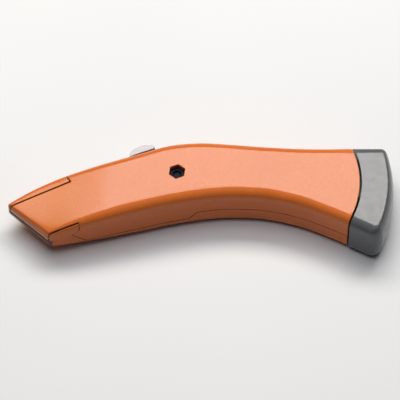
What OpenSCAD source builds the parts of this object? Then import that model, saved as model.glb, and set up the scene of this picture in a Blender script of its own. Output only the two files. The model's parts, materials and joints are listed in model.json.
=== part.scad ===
// Retractable utility knife: two cast shells, a trapezoid blade on a spring-button slide,
// and a butt cap that pulls out a tray of spare blades.
// It lies on the flat outer face of the right shell. X runs along the handle with the nose
// at -X, Y runs across it with the thumb button at +Y, and Z is the thickness.

/* [Handle] */
// Thickness over the middle and the butt of the handle (mm)
body_thick = 24; // [23.5:0.5:26]
// Rounding along the edges of the shells (mm)
edge_r = 4.8; // [3.8:0.2:5]
// Wall of the castings (mm)
wall = 2.6; // [2.2:0.1:3]
// Steps round each rounded edge
edge_steps = 6; // [3:1:7]
// Steps across each broad face
face_steps = 5; // [2:1:6]

/* [Blade] */
// Length of the cutting edge (mm)
blade_len = 60; // [58:1:60]
// Height of the blade (mm)
blade_h = 19; // [18:0.5:19]
// Thickness of the blade (mm)
blade_t = 0.6; // [0.4:0.1:0.7]
// Travel of the blade slide (mm)
slide_travel = 27; // [20:1:27]

/* [Fasteners] */
// Diameter of the closing screw (mm)
screw_d = 4; // [3:0.5:4.5]
// Width of the nut across its flats (mm)
nut_af = 7; // [7:0.5:8]

/* [Hidden] */
$fn = 48;
z_mid = body_thick / 2;
// Half of the gap left where the two shells meet.
seam = 0.16;
// Half of the gap round the laps of the nose.
lap_seam = 0.34;
// Gap between the shells and the butt cap.
cap_gap = 1;
// Behind step_x the shells meet lower than in the nose, by this much.
part_drop = 1;
step_x = -40;
// Gap round pieces that slide.
run = 0.25;
// Radial clearance of pins and screws in their bores.
fit = 0.05;
big = 120;

// The slide frame starts near the lower corner of the mouth and follows the blade.
slide_origin = [-72.3, -24.7];
slide_tilt = 15.5;
blade_pos = [2, 2.4];
screw_at = [-11, 7.5];
// Dowels: one behind the slide, one under the magazine.
pin_at = [[-10.5, 18], [61, -8.5]];
pin_r = 1.5;
pin_half = 4;

// Stations along the handle from the mouth to the butt: x and y on the lower edge,
// x and y on the upper edge, and the shares of the full thickness at the two edges.
stations = [
    [-72.0, -24.7, -92.7, -5.9, 0.47, 0.36],
    [-65.5, -23.1, -81.0, 1.5, 0.61, 0.46],
    [-58.5, -21.2, -69.0, 7.3, 0.74, 0.59],
    [-51.5, -19.4, -58.5, 11.1, 0.83, 0.72],
    [-44.0, -17.5, -48.5, 14.3, 0.91, 0.84],
    [-36.0, -15.3, -38.5, 17.2, 0.96, 0.93],
    [-27.0, -13.0, -28.0, 20.3, 0.99, 0.99],
    [-15.0, -9.9, -15.0, 24.5, 1, 1],
    [0.0, -7.0, 0.0, 26.1, 1, 1],
    [15.0, -5.6, 15.0, 25.2, 1, 1],
    [32.0, -6.6, 32.0, 23.7, 1, 1],
    [48.0, -10.7, 48.0, 22.8, 1, 1],
    [60.0, -15.8, 60.0, 22.6, 1, 1],
    [72.0, -21.8, 72.0, 22.8, 1, 1],
    [84.0, -28.3, 84.0, 22.8, 1, 1]
];
last = len(stations) - 1;
station_steps = 4;
side_steps = 3;
// Rounding of the mouth at its lower and upper end, the spacing of the first two stations,
// and the half thickness left at the mouth itself.
mouth_r = [2.7, 2.3];
mouth_pitch = [7.1, 14.4];
mouth_half = 1.3;

// Butt: the seam between shells and cap, and the outer end, are arcs bulging backwards.
seam_c = [26.2, 3];
seam_r = 50.2;
butt_c = [20, 3.5];
butt_r = 73.1;
// The cap's outer end bulges by butt_crown between its two faces.
butt_crown = 3.6;
cap_edge = 4.6;
cap_top = 22.7;
cap_low = 13.5;
cap_low_slope = 27.5;
// Corner roundings of the cap at mid thickness.
cap_top_r = 3.6;
cap_low_r = 4.6;

// Slide bay, button chamber and button, in the slide frame.
carrier_z = [-3.5, -0.4];
carrier_top = 22.4;
carrier_back = 62;
shelf_b = [22.4, 23.4];
ear_a = [48.6, 53];
ear_z = 4.6;
foot_z = 3;
pivot = [50.8, 25.8];
pivot_r = 1;
neck_a = [51, 60];
neck_z = 1.8;
button_half = 6;
button_r = 1.4;
chamber_b = [22, 28.4];
chamber_z = 5;
slot_z = 2.2;
// Front end of the slot's strip.
strip_a = ear_a[0] - slide_travel + 0.4;
detent_pitch = slide_travel / 2;

// Magazine.
tray_x = [-3.5, 83];
tray_y = [-2.6, 19.2];
tray_half = 4;
tray_wall = 1.2;
spare_pitch = 0.9;
rib_x = [14, 32, 50, 66];

// Closing screw.
head_r = 4.2;
head_z = [0.5, 2.9];
washer_t = 0.6;
nut_h = 3.2;
nut_floor = body_thick - 2.2 - nut_h;

painted = [0.93, 0.52, 0.28];
steel = [0.75, 0.76, 0.78];
dark_steel = [0.16, 0.17, 0.2];
dark_grey = [0.42, 0.43, 0.45];
light_grey = [0.7, 0.71, 0.72];

// ---- Curves and skins ----

function arc(c, r, a0, a1, n) =
    [for (i = [0 : n]) let (a = a0 + (a1 - a0) * i / n) c + r * [cos(a), sin(a)]];

// Smooth blend through four rows, running from b to c.
function blend(a, b, c, d, t) =
    0.5 * (2 * b + (c - a) * t + (2 * a - 5 * b + 4 * c - d) * t * t
        + (3 * b - a - 3 * c + d) * t * t * t);

function station(t) =
    let (i = min(floor(t), last - 1))
    blend(stations[max(i - 1, 0)], stations[i], stations[i + 1],
        stations[min(i + 2, last)], t - i);

// Rounded rectangle across the handle, p up from the lower edge and q out from the middle.
// half and r are the half thickness and the rounding at its lower and upper end.
function section_corner(k, span, half, r) =
    let (i = k % 4 == 0 || k % 4 == 3 ? 1 : 0, side = k % 4 < 2 ? 1 : -1)
    [i == 1 ? span - r[1] : r[0], side * (half[i] - r[i]), r[i]];

function section_point(c, a) = [c[0] + c[2] * cos(a), c[1] + c[2] * sin(a)];

function section_outline(span, half, r) =
    [for (k = [0 : 3])
        let (c = section_corner(k, span, half, r), d = section_corner(k + 1, span, half, r),
            from = section_point(c, 90 * k + 90), to = section_point(d, 90 * k + 90),
            m = k % 2 == 0 ? face_steps : side_steps)
        for (p = concat(
            [for (i = [0 : edge_steps]) section_point(c, 90 * k + 90 * i / edge_steps)],
            [for (j = [1 : m - 1]) from + (to - from) * j / m])) p];

// The same in space, between a lower and an upper point on the edges of the handle.
function section(low, high, half, r) =
    let (span = norm(high - low), e = (high - low) / span)
    [for (p = section_outline(span, half, r))
        [low[0] + e[0] * p[0], low[1] + e[1] * p[0], z_mid + p[1]]];

function half_at(s) = [min(s[4], 1) * z_mid, min(s[5], 1) * z_mid];
function edge_at(h) = [min(edge_r, 0.42 * h[0]), min(edge_r, 0.42 * h[1])];

function body_section(t) =
    let (s = station(t), h = half_at(s))
    section([s[0], s[1]], [s[2], s[3]], h, edge_at(h));

// Sections that round off the mouth, more at its lower end.
function mouth_section(a) =
    let (s0 = station(mouth_r[0] * (1 - cos(a)) / mouth_pitch[0]),
        s1 = station(mouth_r[1] * (1 - cos(a)) / mouth_pitch[1]),
        low = [s0[0], s0[1]], high = [s1[2], s1[3]],
        e = (high - low) / norm(high - low),
        cut = (1 - sin(a)) * mouth_r,
        full = [half_at(s0)[0], half_at(s1)[1]],
        h = full - (1 - sin(a)) * (full - [mouth_half, mouth_half]))
    section(low + e * cut[0], high - e * cut[1], h, edge_at(h));

// Middle of the box round a ring of points.
function middle(ring) =
    [for (k = [0 : 2]) let (v = [for (p = ring) p[k]]) (min(v) + max(v)) / 2];

// Closed skin over a list of rings with the same number of points, each end a fan.
module skin(rings) {
    n = len(rings[0]);
    m = len(rings);
    polyhedron(
        points = concat(
            [for (ring = rings) for (p = ring) p],
            [middle(rings[0]), middle(rings[m - 1])]
        ),
        faces = [
            for (i = [0 : n - 1])
                let (j = (i + 1) % n)
                for (f = concat(
                    [[m * n, i, j], [m * n + 1, (m - 1) * n + j, (m - 1) * n + i]],
                    [for (k = [0 : m - 2]) [k * n + i, (k + 1) * n + i, (k + 1) * n + j]],
                    [for (k = [0 : m - 2]) [k * n + i, (k + 1) * n + j, k * n + j]]
                )) f
        ],
        convexity = 6
    );
}

module slide_frame() {
    translate([slide_origin[0], slide_origin[1], z_mid])
        rotate(slide_tilt)
            children();
}

// Extrudes a shape drawn in the x-z plane along y, from y0 to y1.
module along_y(y0, y1) {
    translate([0, y1, 0])
        rotate([90, 0, 0])
            linear_extrude(y1 - y0)
                children();
}

module box(x, y, z) {
    translate([x[0], y[0], z[0]])
        cube([x[1] - x[0], y[1] - y[0], z[1] - z[0]]);
}

// ---- Shells ----

module handle_form() {
    skin(concat(
        [for (a = [0 : 15 : 75]) mouth_section(a)],
        [for (i = [1 : last * station_steps]) body_section(i / station_steps)]
    ));
}

// Where the right shell laps over the nose onto the left side, grown or shrunk by the seam.
module nose_laps(g) {
    slide_frame() {
        translate([0, 0, -big / 2])
            linear_extrude(big)
                polygon([[-30, 19.3 - g], [-14.2, 21.4 - g], [2, 23.6 - g],
                    [17.5 + 1.3 * g, 25.3 - g], [10.9 + g, 50], [-30, 50]]);
        translate([0, 0, -big / 2])
            linear_extrude(big)
                polygon([[-30, -30], [16 + g, -30], [16 + g, 1.3 + g], [-2, 0.7 + g],
                    [-30, -0.3 + g]]);
    }
}

// Lip of the left shell that runs under the handle, with its pointed front end.
module under_lip(g) {
    slide_frame()
        along_y(-30, 1.9 + g)
            polygon([[16 - g, 20], [15.2 - g, 4.1], [11.8 - g, 1.2], [15.4 - g, -2.6 - g],
                [18.4 - g, -5.9 - g], [68.9 + g, -5.9 - g], [74.3 + g, -g], [74.3 + g, 20]]);
}

module left_zone() {
    difference() {
        union() {
            box([-big, big], [-big, big], [z_mid + seam, big]);
            box([step_x + seam, big], [-big, big], [z_mid - part_drop + seam, big]);
        }
        nose_laps(lap_seam);
    }
    under_lip(-seam);
}

module right_zone() {
    difference() {
        union() {
            box([-big, step_x - seam], [-big, big], [-big, z_mid - seam]);
            box([-big, big], [-big, big], [-big, z_mid - part_drop - seam]);
            nose_laps(-lap_seam);
        }
        under_lip(seam);
    }
}

// Hollow of one casting, open towards the seam, with cross ribs and a boss for the dowel.
module rear_pocket(z) {
    rows = [for (i = [7 * station_steps + 3 : 12 * station_steps + 2]) station(i / station_steps)];
    top = [for (i = [len(rows) - 1 : -1 : 0]) [rows[i][2], rows[i][3] - wall]];
    low = [for (s = rows) [s[0], s[1] + wall]];
    difference() {
        translate([0, 0, z[0]])
            linear_extrude(z[1] - z[0])
                polygon(concat(low, top));
        for (x = rib_x)
            box([x - 0.9, x + 0.9], [-big, big], [-big, big]);
        translate([pin_at[1][0], pin_at[1][1], -big])
            cylinder(r = pin_r + 2, h = 2 * big);
    }
}

module slide_bay() {
    slide_frame() {
        // Carrier and clip.
        translate([0, 0, carrier_z[0] - run])
            linear_extrude(1.4 - carrier_z[0] + run)
                polygon([[2.5, 2], [63, 2], [63, 23.2], [-5.8, 23.2], [-5.8, 13.5]]);
        // Mouth.
        translate([0, 0, -blade_t / 2 - 0.15])
            linear_extrude(blade_t + 0.3)
                polygon([[-30, 2], [4, 2], [4, 21.8], [-30, 21.8]]);
        // Chamber of the button and the slot above it.
        box([ear_a[0] - slide_travel - 0.8, 63.5], chamber_b, [-chamber_z, chamber_z]);
        box([neck_a[0] - slide_travel - 0.6, neck_a[1] + 0.8], [28, 36], [-slot_z, slot_z]);
    }
}

module tray_bay() {
    box([tray_x[0] - 1, 90], [tray_y[0] - 0.3, tray_y[1] + 0.3],
        [z_mid - tray_half - run, z_mid + tray_half + run]);
}

module bores() {
    for (p = pin_at)
        translate([p[0], p[1], z_mid - pin_half - 0.2])
            cylinder(r = pin_r + fit, h = 2 * pin_half + 0.4);
    translate([screw_at[0], screw_at[1], -1])
        cylinder(r = screw_d / 2 + fit, h = body_thick + 2);
    translate([screw_at[0], screw_at[1], -1])
        cylinder(r = head_r + 0.3, h = head_z[1] + washer_t + 1.05);
    translate([screw_at[0], screw_at[1], nut_floor])
        rotate(22)
            cylinder(r = (nut_af / 2 + 0.12) / cos(30), h = 10, $fn = 6);
}

module behind_seam(g) {
    difference() {
        box([50, big], [-big, big], [-big, big]);
        translate([seam_c[0], seam_c[1], -big])
            cylinder(r = seam_r + g, h = 2 * big, $fn = 180);
    }
}

module left_shell() {
    color(painted)
        intersection() {
            handle_form();
            difference() {
                left_zone();
                rear_pocket([z_mid - 2, body_thick - wall]);
                slide_frame()
                    box([30, 62], [3, 21.8], [1, 7]);
                slide_bay();
                tray_bay();
                bores();
                behind_seam(0);
            }
        }
}

module right_shell() {
    color(painted)
        intersection() {
            handle_form();
            difference() {
                right_zone();
                rear_pocket([wall, z_mid + 1]);
                slide_frame()
                    box([30, 62], [3, 21.8], [-7, -1]);
                slide_bay();
                tray_bay();
                bores();
                behind_seam(0);
            }
        }
}

// ---- Closing screw, nut, dowels ----

module hex_nut() {
    color(dark_steel)
        translate([screw_at[0], screw_at[1], nut_floor + 0.02])
            difference() {
                intersection() {
                    rotate(22)
                        cylinder(r = nut_af / 2 / cos(30), h = nut_h, $fn = 6);
                    cylinder(r1 = nut_af / 2 + 2.6, r2 = nut_af / 2 + 0.2, h = nut_h);
                }
                translate([0, 0, -1])
                    cylinder(r = screw_d / 2 + fit, h = nut_h + 2);
            }
}

module screw_washer() {
    color(steel)
        translate([screw_at[0], screw_at[1], head_z[1] + 0.02])
            difference() {
                cylinder(r = head_r, h = washer_t);
                translate([0, 0, -1])
                    cylinder(r = screw_d / 2 + fit, h = washer_t + 2);
            }
}

module closing_screw() {
    color(steel)
        translate([screw_at[0], screw_at[1], 0])
            difference() {
                union() {
                    translate([0, 0, head_z[0]])
                        cylinder(r1 = head_r - 0.4, r2 = head_r, h = 0.4);
                    translate([0, 0, head_z[0] + 0.4])
                        cylinder(r = head_r, h = head_z[1] - head_z[0] - 0.4);
                    translate([0, 0, head_z[1] - 0.1])
                        cylinder(r = screw_d / 2, h = nut_floor + nut_h - head_z[1] - 1.4);
                    translate([0, 0, nut_floor + nut_h - 1.5])
                        cylinder(r1 = screw_d / 2, r2 = screw_d / 2 - 0.5, h = 0.5);
                }
                box([-0.7, 0.7], [-big, big], [-1, head_z[0] + 1.2]);
            }
}

module locating_pins() {
    color(steel)
        for (p = pin_at)
            translate([p[0], p[1], z_mid - pin_half])
                cylinder(r = pin_r, h = 2 * pin_half);
}

// ---- Slide ----

module blade_outline() {
    side = (blade_len - 33) / 2;
    difference() {
        polygon([[0, 0], [blade_len, 0], [blade_len - side, blade_h], [side, blade_h]]);
        for (x = [-5.5, 5.5])
            translate([blade_len / 2 + x, blade_h]) {
                translate([-1.6, -1.6])
                    square([3.2, 4]);
                translate([0, -1.6])
                    circle(r = 1.6);
            }
    }
}

// One blade with its cutting edge along the x axis, ground from both faces.
module blank_blade() {
    grind = 1.4;
    slope = atan(0.48 * blade_t / grind);
    difference() {
        linear_extrude(blade_t)
            blade_outline();
        translate([-5, 0, 0.52 * blade_t])
            rotate([slope, 0, 0])
                box([0, blade_len + 10], [-2, 3], [0, 2]);
        translate([-5, 0, 0.48 * blade_t])
            rotate([-slope, 0, 0])
                box([0, blade_len + 10], [-2, 3], [-2, 0]);
    }
}

module blade() {
    color(steel)
        slide_frame()
            translate([blade_pos[0], blade_pos[1], -blade_t / 2])
                blank_blade();
}

function notch_at(s) = blade_pos + [blade_len / 2 + 5.5 * s, blade_h - 1.6];

module at_notches() {
    for (s = [-1, 1])
        translate(notch_at(s))
            children();
}

module blade_carrier() {
    color(light_grey)
        slide_frame()
            difference() {
                union() {
                    translate([0, 0, carrier_z[0]])
                        linear_extrude(carrier_z[1] - carrier_z[0])
                            polygon([[30, 2.8], [carrier_back, 2.8], [carrier_back, carrier_top + 0.1],
                                [22, carrier_top + 0.1], [22, 14]]);
                    box([ear_a[0], carrier_back], shelf_b, [-ear_z, ear_z]);
                    for (s = [0, 1])
                        mirror([0, 0, s])
                            box(ear_a, [shelf_b[0], 27.3], [foot_z + 0.2, ear_z]);
                }
                translate([pivot[0], pivot[1], -big])
                    cylinder(r = pivot_r + fit, h = 2 * big);
                at_notches()
                    translate([0, 0, -10])
                        cylinder(r = 1.2 + fit, h = 11);
            }
}

module blade_clip() {
    color(steel)
        slide_frame()
            difference() {
                translate([0, 0, blade_t / 2 + 0.05])
                    linear_extrude(0.5)
                        polygon([[24, 15], [56, 15], [52, 21.8], [24, 21.8]]);
                at_notches()
                    translate([0, 0, -1])
                        cylinder(r = 1.2 + fit, h = 4);
            }
}

module clip_rivets() {
    color(steel)
        slide_frame()
            at_notches() {
                translate([0, 0, carrier_z[0] + 0.1])
                    cylinder(r = 1.2, h = blade_t / 2 + 0.55 - carrier_z[0]);
                translate([0, 0, blade_t / 2 + 0.57])
                    cylinder(r1 = 1.9, r2 = 1.4, h = 0.3);
            }
}

module button_pin() {
    color(steel)
        slide_frame()
            translate([pivot[0], pivot[1], -ear_z])
                cylinder(r = pivot_r, h = 2 * ear_z);
}

module button_spring() {
    color(steel)
        slide_frame()
            translate([0, 0, -2.5])
                linear_extrude(5)
                    polygon([[54, shelf_b[1] + 0.02], [61, shelf_b[1] + 0.02], [61, shelf_b[1] + 0.2],
                        [56, shelf_b[1] + 0.2], [60.6, 23.9], [60.5, 24.1], [54, shelf_b[1] + 0.3]]);
}

// Extrudes a side view of the button across the slide, with a rounded plan.
module button_form(profile) {
    ends = [48 + button_r, 62.5 - button_r];
    intersection() {
        translate([0, 0, -button_half])
            linear_extrude(2 * button_half)
                polygon(profile);
        along_y(20, 40) {
            translate([40, -button_half + button_r])
                square([23, 2 * (button_half - button_r)]);
            translate([ends[0], -button_half])
                square([ends[1] - ends[0], 2 * button_half]);
            for (a = ends)
                for (s = [-1, 1])
                    translate([a, s * (button_half - button_r)])
                        circle(r = button_r);
        }
    }
}

// Dark lever under the thumb piece: foot with its pivot bore, tooth, neck, plate and tongue.
module button_lever() {
    color(dark_steel)
        slide_frame()
            difference() {
                union() {
                    button_form([[49, 32], [62, 32.8], [62, 34.5], [54.5, 33.75], [49, 33]]);
                    box(neck_a, [26, 33], [-neck_z, neck_z]);
                    box([53, 59], [33, 35.2], [-neck_z, neck_z]);
                    box([49.2, 61], [24.7, 27.1], [-foot_z, foot_z]);
                    box([56.5, 57.5], [27, 27.4], [-foot_z, foot_z]);
                }
                translate([pivot[0], pivot[1], -big])
                    cylinder(r = pivot_r + fit, h = 2 * big);
            }
}

module thumb_button() {
    color(light_grey)
        slide_frame()
            difference() {
                button_form(concat(
                    arc([52.5, 32.65], 3.6, 168, 125, 5),
                    arc([56.2, 26.75], 10.55, 112, 70, 7),
                    arc([60.4, 35.1], 1.6, 68, 0, 5),
                    [[62, 34.52], [54.5, 33.77], [49, 33.02]]
                ));
                box([52.95, 59.05], [30, 35.3], [-neck_z - fit, neck_z + fit]);
            }
}

module detent_strip() {
    color(steel)
        slide_frame()
            difference() {
                box([strip_a, 63], [27.7, 28.3], [-4.8, 4.8]);
                box([strip_a + 0.9, 61.5], [20, 30], [-2.4, 2.4]);
                for (i = [0 : 2])
                    for (s = [-1, 1])
                        translate([57 - i * detent_pitch, 28, s * 2.9])
                            box([-0.8, 0.8], [-1, 1], [-1, 1]);
            }
}

// ---- Magazine ----

// Leaf that stands on a rib and rises to a bump under the tray.
module tray_catch() {
    color(dark_steel)
        along_y(5, 11)
            polygon([[33, z_mid - 5.6], [38, z_mid - 5.6], [42, z_mid - 4.4], [45, z_mid - 5.2],
                [45, z_mid - 5.6], [42, z_mid - 4.8], [38, z_mid - 6], [33, z_mid - 6]]);
}

// Middle of a corner of radius r between the outer end, inset by j, and the straight edge
// with inward normal n, running along t, at distance d from the origin.
function corner_at(n, t, d, r, j) =
    let (w = d + r - n * butt_c)
    butt_c + w * n + sqrt(pow(butt_r - j - r, 2) - w * w) * t;

function turn_at(c) = atan2(c[1] - butt_c[1], c[0] - butt_c[0]);

// Outline of the cap with its long edges inset by i and its outer end by j.
function cap_outline(i, j) =
    let (s = cap_low_slope, t = [cos(s), -sin(s)],
        rt = max(cap_top_r - i, 0.5), rl = max(cap_low_r - i, 1),
        ct = corner_at([0, -1], [1, 0], i - cap_top, rt, j),
        cl = corner_at([sin(s), cos(s)], t, cap_low + i, rl, j),
        low_end = cl - rl * [sin(s), cos(s)])
    concat(
        [[60, cap_top - i]],
        arc(ct, rt, 90, turn_at(ct), 8),
        arc(butt_c, butt_r - j, turn_at(ct) - 3, turn_at(cl) + 3, 12),
        arc(cl, rl, turn_at(cl), -90 - s, 8),
        [low_end - t * (low_end[0] - 60) / t[0]]
    );

// Insets of the cap at height z: a quarter circle along its edges, half an ellipse at its end.
function edge_inset(z) =
    let (u = max(cap_edge - min(z, body_thick - z), 0)) cap_edge - sqrt(cap_edge * cap_edge - u * u);
function end_inset(z) = butt_crown * (1 - sqrt(1 - pow(1 - z / z_mid, 2)));

module cap_form() {
    rise = [for (k = [0 : edge_steps]) cap_edge * (1 - cos(90 * k / edge_steps))];
    levels = concat(
        rise,
        [for (k = [1 : 3]) cap_edge + (body_thick - 2 * cap_edge) * k / 4],
        [for (k = [edge_steps : -1 : 0]) body_thick - rise[k]]
    );
    skin([for (z = levels)
        [for (p = cap_outline(edge_inset(z), end_inset(z))) [p[0], p[1], z]]]);
}

module rivet_posts(r, half) {
    for (y = [2, 15])
        translate([80, y, z_mid - half])
            cylinder(r = r, h = 2 * half);
}

module end_cap() {
    color(dark_grey)
        intersection() {
            cap_form();
            difference() {
                behind_seam(cap_gap);
                box([50, tray_x[1] + 0.1], [tray_y[0] - 0.1, tray_y[1] + 0.1],
                    [z_mid - tray_half - 0.1, z_mid + tray_half + 0.1]);
                box([50, 84], [-17, -5], [4, body_thick - 4]);
                rivet_posts(1.5 + fit, 7.1);
            }
        }
}

module blade_tray() {
    color(dark_grey)
        difference() {
            box(tray_x, tray_y, [z_mid - tray_half, z_mid + tray_half]);
            box([tray_x[0] + tray_wall, 70], [tray_y[0] + tray_wall, tray_y[1] - tray_wall],
                [z_mid - tray_half + tray_wall, big]);
            rivet_posts(1.5 + fit, 20);
        }
}

module tray_rivets() {
    color(steel)
        rivet_posts(1.5, 7);
}

module spare_blade(i) {
    color(steel)
        translate([2, tray_y[0] + tray_wall + 0.2, z_mid - tray_half + tray_wall + 0.1])
            translate([0, 0, (i - 1) * spare_pitch])
                blank_blade();
}

left_shell();
right_shell();
hex_nut();
screw_washer();
locating_pins();
detent_strip();
tray_catch();
closing_screw();
blade_carrier();
blade_clip();
clip_rivets();
blade();
button_pin();
button_spring();
button_lever();
thumb_button();
end_cap();
blade_tray();
tray_rivets();
spare_blade(1);  // spare_blade_1
spare_blade(2);  // spare_blade_2
spare_blade(3);  // spare_blade_3
spare_blade(4);  // spare_blade_4
spare_blade(5);  // spare_blade_5
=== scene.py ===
import json
import math

import bmesh
import bpy
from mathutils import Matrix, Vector


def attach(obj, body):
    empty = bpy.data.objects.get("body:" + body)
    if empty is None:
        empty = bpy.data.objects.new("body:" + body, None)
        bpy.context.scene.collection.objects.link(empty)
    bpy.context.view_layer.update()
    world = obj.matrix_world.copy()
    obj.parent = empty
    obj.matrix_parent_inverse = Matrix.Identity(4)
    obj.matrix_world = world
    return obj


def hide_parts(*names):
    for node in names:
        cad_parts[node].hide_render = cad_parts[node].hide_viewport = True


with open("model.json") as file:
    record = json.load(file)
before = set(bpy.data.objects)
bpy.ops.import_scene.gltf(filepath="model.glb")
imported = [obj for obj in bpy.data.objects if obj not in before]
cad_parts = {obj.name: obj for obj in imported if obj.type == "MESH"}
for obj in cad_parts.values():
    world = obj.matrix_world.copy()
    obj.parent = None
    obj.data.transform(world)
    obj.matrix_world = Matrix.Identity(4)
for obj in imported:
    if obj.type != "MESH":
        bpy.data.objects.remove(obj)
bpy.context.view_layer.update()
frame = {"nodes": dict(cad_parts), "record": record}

# The CAD holds the knife's shape. Here each of its nodes gets a smooth skin and a material.
nodes = frame["nodes"]
body_of = {n: body for body, members in frame["record"]["behaviour"]["bodies"].items() for n in members}
MM = 0.001


# ---- Node helpers ----
# Texture coordinates are the part's own, in metres, so a noise scale counts blotches per metre.

class Graph:
    """A material's node tree, with short calls for the nodes used here."""

    def __init__(self, name):
        self.mat = bpy.data.materials.new(name)
        self.mat.use_nodes = True
        self.tree = self.mat.node_tree
        self.tree.nodes.clear()
        output = self.node("ShaderNodeOutputMaterial")
        self.shader = self.node("ShaderNodeBsdfPrincipled")
        self.link(self.shader.outputs[0], output.inputs[0])
        self.coord = self.node("ShaderNodeTexCoord").outputs["Object"]

    def node(self, kind, **values):
        n = self.tree.nodes.new(kind)
        for key, value in values.items():
            setattr(n, key, value)
        return n

    def link(self, a, b):
        self.tree.links.new(a, b)

    def feed(self, source, name):
        """Link a value that varies over the surface to one of the shader's sockets."""
        self.link(source, self.shader.inputs[name])

    def set(self, name, value):
        """Set one of the shader's sockets to a value that is the same all over."""
        self.shader.inputs[name].default_value = value

    def mapping(self, scale, turn):
        n = self.node("ShaderNodeMapping")
        self.link(self.coord, n.inputs["Vector"])
        n.inputs["Scale"].default_value = scale
        n.inputs["Rotation"].default_value = turn
        return n.outputs[0]

    def noise(self, scale, detail, rough=0.55, vector=None):
        n = self.node("ShaderNodeTexNoise")
        self.link(vector or self.coord, n.inputs["Vector"])
        n.inputs["Scale"].default_value = scale
        n.inputs["Detail"].default_value = detail
        n.inputs["Roughness"].default_value = rough
        return n.outputs["Fac"]

    def ramp(self, fac, stops):
        n = self.node("ShaderNodeValToRGB")
        for item, (position, colour) in zip(n.color_ramp.elements, stops):
            item.position = position
            item.color = (*colour, 1)
        self.link(fac, n.inputs["Fac"])
        return n.outputs["Color"]

    def remap(self, fac, low, high, to_low=0.0, to_high=1.0):
        n = self.node("ShaderNodeMapRange")
        self.link(fac, n.inputs["Value"])
        sockets = ("From Min", "From Max", "To Min", "To Max")
        for socket, value in zip(sockets, (low, high, to_low, to_high)):
            n.inputs[socket].default_value = value
        return n.outputs["Result"]

    def math(self, operation, a, b):
        n = self.node("ShaderNodeMath", operation=operation)
        for i, value in enumerate((a, b)):
            if isinstance(value, (int, float)):
                n.inputs[i].default_value = value
            else:
                self.link(value, n.inputs[i])
        return n.outputs[0]

    def times(self, a, b):
        return self.math("MULTIPLY", a, b)

    def mix(self, fac, a, b):
        n = self.node("ShaderNodeMix", data_type="RGBA")
        self.link(fac, n.inputs[0])
        for socket, value in ((6, a), (7, b)):
            if isinstance(value, tuple):
                n.inputs[socket].default_value = (*value, 1)
            else:
                self.link(value, n.inputs[socket])
        return n.outputs[2]

    def bump(self, height, strength, distance, soft_edge=0.0):
        """Fine relief over the surface, with its edges shaded as if rounded by soft_edge metres."""
        n = self.node("ShaderNodeBump")
        if soft_edge:
            b = self.node("ShaderNodeBevel", samples=6)
            b.inputs["Radius"].default_value = soft_edge
            self.link(b.outputs[0], n.inputs["Normal"])
        n.inputs["Strength"].default_value = strength
        n.inputs["Distance"].default_value = distance
        self.link(height, n.inputs["Height"])
        self.feed(n.outputs[0], "Normal")

    def dot(self, a, b):
        """Dot product of two vectors, the second a socket or fixed numbers."""
        n = self.node("ShaderNodeVectorMath", operation="DOT_PRODUCT")
        self.link(a, n.inputs[0])
        if isinstance(b, tuple):
            n.inputs[1].default_value = b
        else:
            self.link(b, n.inputs[1])
        return n.outputs["Value"]

    def recess_shade(self, reach):
        """Mask for painted shade: 1 down in seams and slots, 0 on open faces."""
        n = self.node("ShaderNodeAmbientOcclusion", samples=8)
        n.inputs["Distance"].default_value = reach
        open_share, buried_share = 0.62, 0.3
        return self.remap(n.outputs["AO"], open_share, buried_share)

    def edge(self, radius, low, high):
        """1 at edges, 0 on flats: how far a bevelled normal leaves the true one."""
        b = self.node("ShaderNodeBevel", samples=4)
        b.inputs["Radius"].default_value = radius
        true_normal = self.node("ShaderNodeNewGeometry").outputs["Normal"]
        lean = self.math("SUBTRACT", 1.0, self.dot(b.outputs[0], true_normal))
        return self.remap(lean, low, high)


def srgb(r, g, b):
    def linear(c):
        c /= 255
        return c / 12.92 if c <= 0.04045 else ((c + 0.055) / 1.055) ** 2.4
    return (linear(r), linear(g), linear(b))


# ---- Materials ----

# The mouth is a plane square to MOUTH_OUT, at the distance MOUTH_AT from the origin. A painted
# highlight lightens its edge between the next two heights, and painted shade darkens its lip below the
# last.
MOUTH_OUT = (-0.672, -0.740, 0)
MOUTH_AT = 0.0666
HIGHLIGHT_FROM = 0.0124
HIGHLIGHT_TO = 0.0132
LIP_SHADE_TO = 0.0118


def painted_orange():
    g = Graph("painted_orange")
    tone = g.ramp(g.noise(18, 3), [(0.3, (0.595, 0.139, 0.026)), (0.7, (0.635, 0.160, 0.034))])
    grain = g.remap(g.noise(900, 3), 0.35, 0.7, 0.0, 0.42)
    tone = g.mix(grain, tone, (0.50, 0.105, 0.020))
    # Painted highlight: every edge is lightened towards a pale orange.
    tone = g.mix(g.times(g.edge(0.0004, 0.02, 0.2), 0.35), tone, (0.80, 0.42, 0.22))
    chips = g.times(g.edge(0.00025, 0.05, 0.25), g.remap(g.noise(420, 4), 0.58, 0.66))
    tone = g.mix(chips, tone, srgb(150, 140, 130))
    tone = mouth_highlight_and_shade(g, tone)
    # Painted shade: seams and slots are darkened to near black where the ambient occlusion finds them.
    tone = g.mix(g.recess_shade(0.0012), tone, srgb(24, 12, 8))
    g.feed(tone, "Base Color")
    rough = g.remap(g.noise(260, 5), 0.3, 0.75, 0.12, 0.22)
    g.feed(g.math("ADD", rough, g.times(chips, 0.2)), "Roughness")
    g.set("Specular IOR Level", 0.3)
    peel = g.math("ADD", g.times(g.noise(700, 2), 0.7), g.times(g.noise(2600, 2), 0.3))
    g.bump(peel, 0.3, 0.00006, soft_edge=0.0006)
    return g.mat


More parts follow.
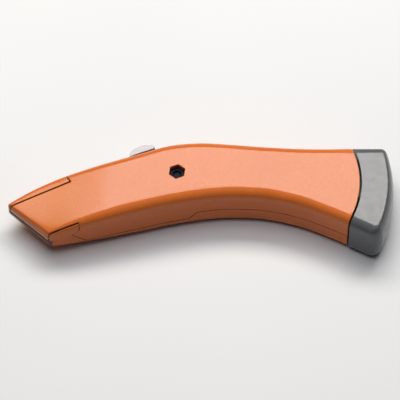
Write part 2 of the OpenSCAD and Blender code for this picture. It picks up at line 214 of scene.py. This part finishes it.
def mouth_highlight_and_shade(g, tone):
    """Painted light at the mouth: a painted highlight on its upper edge, painted shade on the lip below
    it.
    """
    out = g.dot(g.coord, MOUTH_OUT)
    height = g.dot(g.coord, (0, 0, 1))
    above_slot = g.remap(height, HIGHLIGHT_FROM - 0.0002, HIGHLIGHT_FROM)
    below_face = g.remap(height, HIGHLIGHT_TO + 0.0004, HIGHLIGHT_TO)
    edge_highlight = g.times(g.times(above_slot, below_face), g.remap(out, MOUTH_AT - 0.0006, MOUTH_AT - 0.0003))
    lip_shade = g.times(g.remap(out, MOUTH_AT - 0.0016, MOUTH_AT - 0.0010),
                    g.remap(height, LIP_SHADE_TO + 0.0003, LIP_SHADE_TO))
    # Painted highlight on the mouth's upper edge, then painted shade on the lip below it.
    tone = g.mix(g.times(edge_highlight, 0.8), tone, srgb(205, 175, 150))
    return g.mix(g.times(lip_shade, 0.9), tone, srgb(58, 38, 28))


def moulded_grey(name, light, dark, rough, shine=0.5, rub_share=0.5, glint=(1, 1, 1, 1)):
    """Moulded plastic with rubbed edges. shine and glint are the level and tint of its gloss."""
    g = Graph(name)
    tone = g.ramp(g.noise(35, 4), [(0.3, dark), (0.72, light)])
    rub = g.times(g.edge(0.0006, 0.01, 0.2), g.remap(g.noise(160, 5), 0.42, 0.62))
    g.feed(g.mix(g.times(rub, rub_share), tone, srgb(190, 190, 190)), "Base Color")
    g.set("Specular IOR Level", shine)
    g.set("Specular Tint", glint)
    g.feed(g.remap(g.noise(480, 5), 0.3, 0.7, rough - 0.06, rough + 0.08), "Roughness")
    g.bump(g.noise(2400, 3), 0.3, 0.00005, soft_edge=0.0003)
    return g.mat


def ground_steel(name, tone, rough, turn=0.0):
    """Steel with fine grinding lines, which lie at an angle of turn radians to X."""
    g = Graph(name)
    lines = g.noise(1.0, 3, 0.6, g.mapping((120, 6000, 3000), (0, 0, turn)))
    stain = g.noise(90, 4)
    base = g.ramp(lines, [(0.25, tuple(c * 0.82 for c in tone)), (0.75, tone)])
    base = g.mix(g.remap(stain, 0.55, 0.75, 0.0, 0.25), base, srgb(120, 112, 104))
    g.feed(base, "Base Color")
    g.set("Metallic", 0.6)
    uneven = g.math("ADD", lines, g.times(stain, 0.3))
    g.feed(g.remap(uneven, 0.3, 1.0, rough - 0.06, rough + 0.12), "Roughness")
    g.bump(lines, 0.2, 0.00003)
    return g.mat


def black_oxide():
    g = Graph("black_oxide")
    tone = g.ramp(g.noise(400, 4), [(0.3, srgb(20, 23, 36)), (0.7, srgb(29, 32, 46))])
    rub = g.times(g.edge(0.0003, 0.02, 0.25), g.remap(g.noise(700, 3), 0.45, 0.6))
    g.feed(g.mix(g.times(rub, 0.2), tone, srgb(90, 92, 98)), "Base Color")
    g.set("Specular IOR Level", 0.04)
    g.feed(g.remap(g.noise(900, 3), 0.3, 0.7, 0.32, 0.5), "Roughness")
    g.bump(g.noise(1800, 3), 0.3, 0.00004)
    return g.mat


BLADE_SLANT = math.radians(15.5)

orange = painted_orange()
cap_grey = moulded_grey("cap_grey", srgb(90, 92, 96), srgb(82, 84, 88), 0.2,
                        shine=0.455, rub_share=0.12, glint=(0.95, 0.955, 1, 1))
tray_grey = moulded_grey("tray_grey", srgb(92, 94, 97), srgb(78, 80, 83), 0.45)
button_grey = moulded_grey("button_grey", srgb(181, 175, 183), srgb(171, 165, 173), 0.3)
# The lever's near black is partly its own finish and partly painted shade, so the gap under the thumb
# button shows dark.
lever_black_shade = moulded_grey("lever_black_shade", srgb(30, 27, 24), srgb(20, 18, 17), 0.5,
                           shine=0.2, rub_share=0.1)
carrier_grey = moulded_grey("carrier_grey", srgb(96, 98, 102), srgb(80, 82, 86), 0.4)
blade_steel = ground_steel("blade_steel", srgb(150, 152, 156), 0.42, BLADE_SLANT)
spare_steel = ground_steel("spare_steel", srgb(146, 148, 152), 0.44)
turned_steel = ground_steel("turned_steel", srgb(188, 189, 192), 0.3)
spring_steel = ground_steel("spring_steel", srgb(140, 141, 146), 0.34)
nut_black = black_oxide()

finish = {
    "left_shell": orange,
    "right_shell": orange,
    "hex_nut": nut_black,
    "screw_washer": turned_steel,
    "locating_pins": turned_steel,
    "detent_strip": spring_steel,
    "tray_catch": spring_steel,
    "closing_screw": nut_black,
    "blade_carrier": carrier_grey,
    "blade_clip": spring_steel,
    "clip_rivets": turned_steel,
    "blade": blade_steel,
    "button_pin": turned_steel,
    "button_spring": spring_steel,
    "button_lever": lever_black_shade,
    "thumb_button": button_grey,
    "end_cap": cap_grey,
    "blade_tray": tray_grey,
    "tray_rivets": turned_steel,
}
finish.update({f"spare_blade_{i}": spare_steel for i in range(1, 6)})


# ---- Skins of the knife's pieces ----

# Width in millimetres of the small rounding that some pieces get on their true edges
ROUNDED = {"thumb_button": 0.45, "blade_tray": 0.2, "blade_carrier": 0.12, "closing_screw": 0.15}
# Corners closer than this many metres are one corner
WELD = 2e-6
# Angles between faces up to which the shading is smooth, and from which an edge is rounded
SMOOTH_UP_TO = math.radians(28)
ROUND_FROM = math.radians(40)


def welded_mesh(name):
    """The node's own faces, welded into one mesh, with smooth shading up to its true edges."""
    source = nodes[name].data
    form = bmesh.new()
    corners = [form.verts.new(v.co) for v in source.vertices]
    for face in source.polygons:
        form.faces.new([corners[i] for i in face.vertices])
    bmesh.ops.remove_doubles(form, verts=form.verts, dist=WELD)
    bmesh.ops.dissolve_degenerate(form, edges=form.edges, dist=WELD / 2)
    bmesh.ops.recalc_face_normals(form, faces=form.faces)
    mesh = bpy.data.meshes.new(name + "_skin")
    form.to_mesh(mesh)
    form.free()
    mesh.shade_smooth()
    mesh.set_sharp_from_angle(angle=SMOOTH_UP_TO)
    return mesh


def skin(name):
    """A finished skin that stands for the node and rides on its body."""
    mesh = welded_mesh(name)
    mesh.materials.append(finish[name])
    obj = bpy.data.objects.new(name + "_skin", mesh)
    bpy.context.scene.collection.objects.link(obj)
    if name in ROUNDED:
        bevel = obj.modifiers.new("rounded_edges", "BEVEL")
        bevel.width = ROUNDED[name] * MM
        bevel.segments = 3
        bevel.limit_method = "ANGLE"
        bevel.angle_limit = ROUND_FROM
    even = obj.modifiers.new("even_normals", "WEIGHTED_NORMAL")
    even.keep_sharp = True
    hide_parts(name)
    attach(obj, body_of[name])


for node_name in nodes:
    skin(node_name)


# ---- Floor, light and camera ----

FLOOR_SIZE = 3.0
FLOOR_GAP = 0.0002


def floor():
    form = bmesh.new()
    bmesh.ops.create_grid(form, x_segments=2, y_segments=2, size=FLOOR_SIZE)
    mesh = bpy.data.meshes.new("floor")
    form.to_mesh(mesh)
    form.free()
    obj = bpy.data.objects.new("floor", mesh)
    obj.location.z = -FLOOR_GAP
    bpy.context.scene.collection.objects.link(obj)
    g = Graph("floor")
    tone = g.ramp(g.noise(4, 2), [(0.3, (0.72, 0.73, 0.77)), (0.7, (0.75, 0.76, 0.80))])
    g.feed(tone, "Base Color")
    g.set("Roughness", 0.8)
    mesh.materials.append(g.mat)


def area(name, place, target, size, power, tint=(1, 1, 1)):
    light = bpy.data.lights.new(name, "AREA")
    light.shape = "RECTANGLE"
    light.size, light.size_y = size
    light.energy = power
    light.color = tint
    obj = bpy.data.objects.new(name, light)
    obj.location = place
    obj.rotation_euler = (Vector(target) - Vector(place)).to_track_quat("-Z", "Y").to_euler()
    bpy.context.scene.collection.objects.link(obj)
    return obj


# The soft lights side by side behind the knife, which its broad face mirrors: their distance
# behind it, their height, their depth, and how far to the left of itself each one aims.
SHEEN_BEHIND = 0.545
SHEEN_HEIGHT = 0.84
SHEEN_DEPTH = 0.32
SHEEN_SLANT = 0.07


def sheen_light(name, x, width, power, tint):
    place = (x, SHEEN_BEHIND, SHEEN_HEIGHT)
    area(name, place, (x - SHEEN_SLANT, 0, 0), (width, SHEEN_DEPTH), power, tint)


floor()
sheen_light("top_soft", 0.12, 0.85, 8.4, (1.0, 0.975, 0.9))
sheen_light("blend_soft", -0.36, 0.11, 0.75, (1.0, 0.95, 0.76))
sheen_light("nose_soft", -0.585, 0.34, 1.45, (1.0, 0.92, 0.62))
# The light over the knife stays out of reflections, so that the rounded edges keep their colour.
overhead = area("overhead", (-0.1, 0.05, 1.2), (0, 0, 0), (0.9, 0.9), 6.8)
overhead.visible_glossy = False

world = bpy.data.worlds.new("studio")
world.use_nodes = True
background = world.node_tree.nodes["Background"]
background.inputs["Color"].default_value = (1, 1, 1, 1)
background.inputs["Strength"].default_value = 0.05
bpy.context.scene.world = world
bpy.context.scene.view_settings.view_transform = "Standard"

# The camera looks from far off, so the knife shows with hardly any perspective.
AIM = Vector((0.0, -0.0013, 0.0125))
ELEVATION = math.radians(57)
DISTANCE = 1.6
VIEW_WIDTH = 0.1922
SENSOR = 36     # millimetres, as the lens is
camera_data = bpy.data.cameras.new("camera")
camera_data.sensor_width = SENSOR
camera_data.lens = SENSOR * DISTANCE / VIEW_WIDTH
camera_data.clip_start = 0.05
camera_data.clip_end = 20
camera = bpy.data.objects.new("camera", camera_data)
to_camera = Vector((0, -math.cos(ELEVATION), math.sin(ELEVATION)))
camera.location = AIM + to_camera * DISTANCE
camera.rotation_euler = (-to_camera).to_track_quat("-Z", "Y").to_euler()
bpy.context.scene.collection.objects.link(camera)
bpy.context.scene.camera = camera
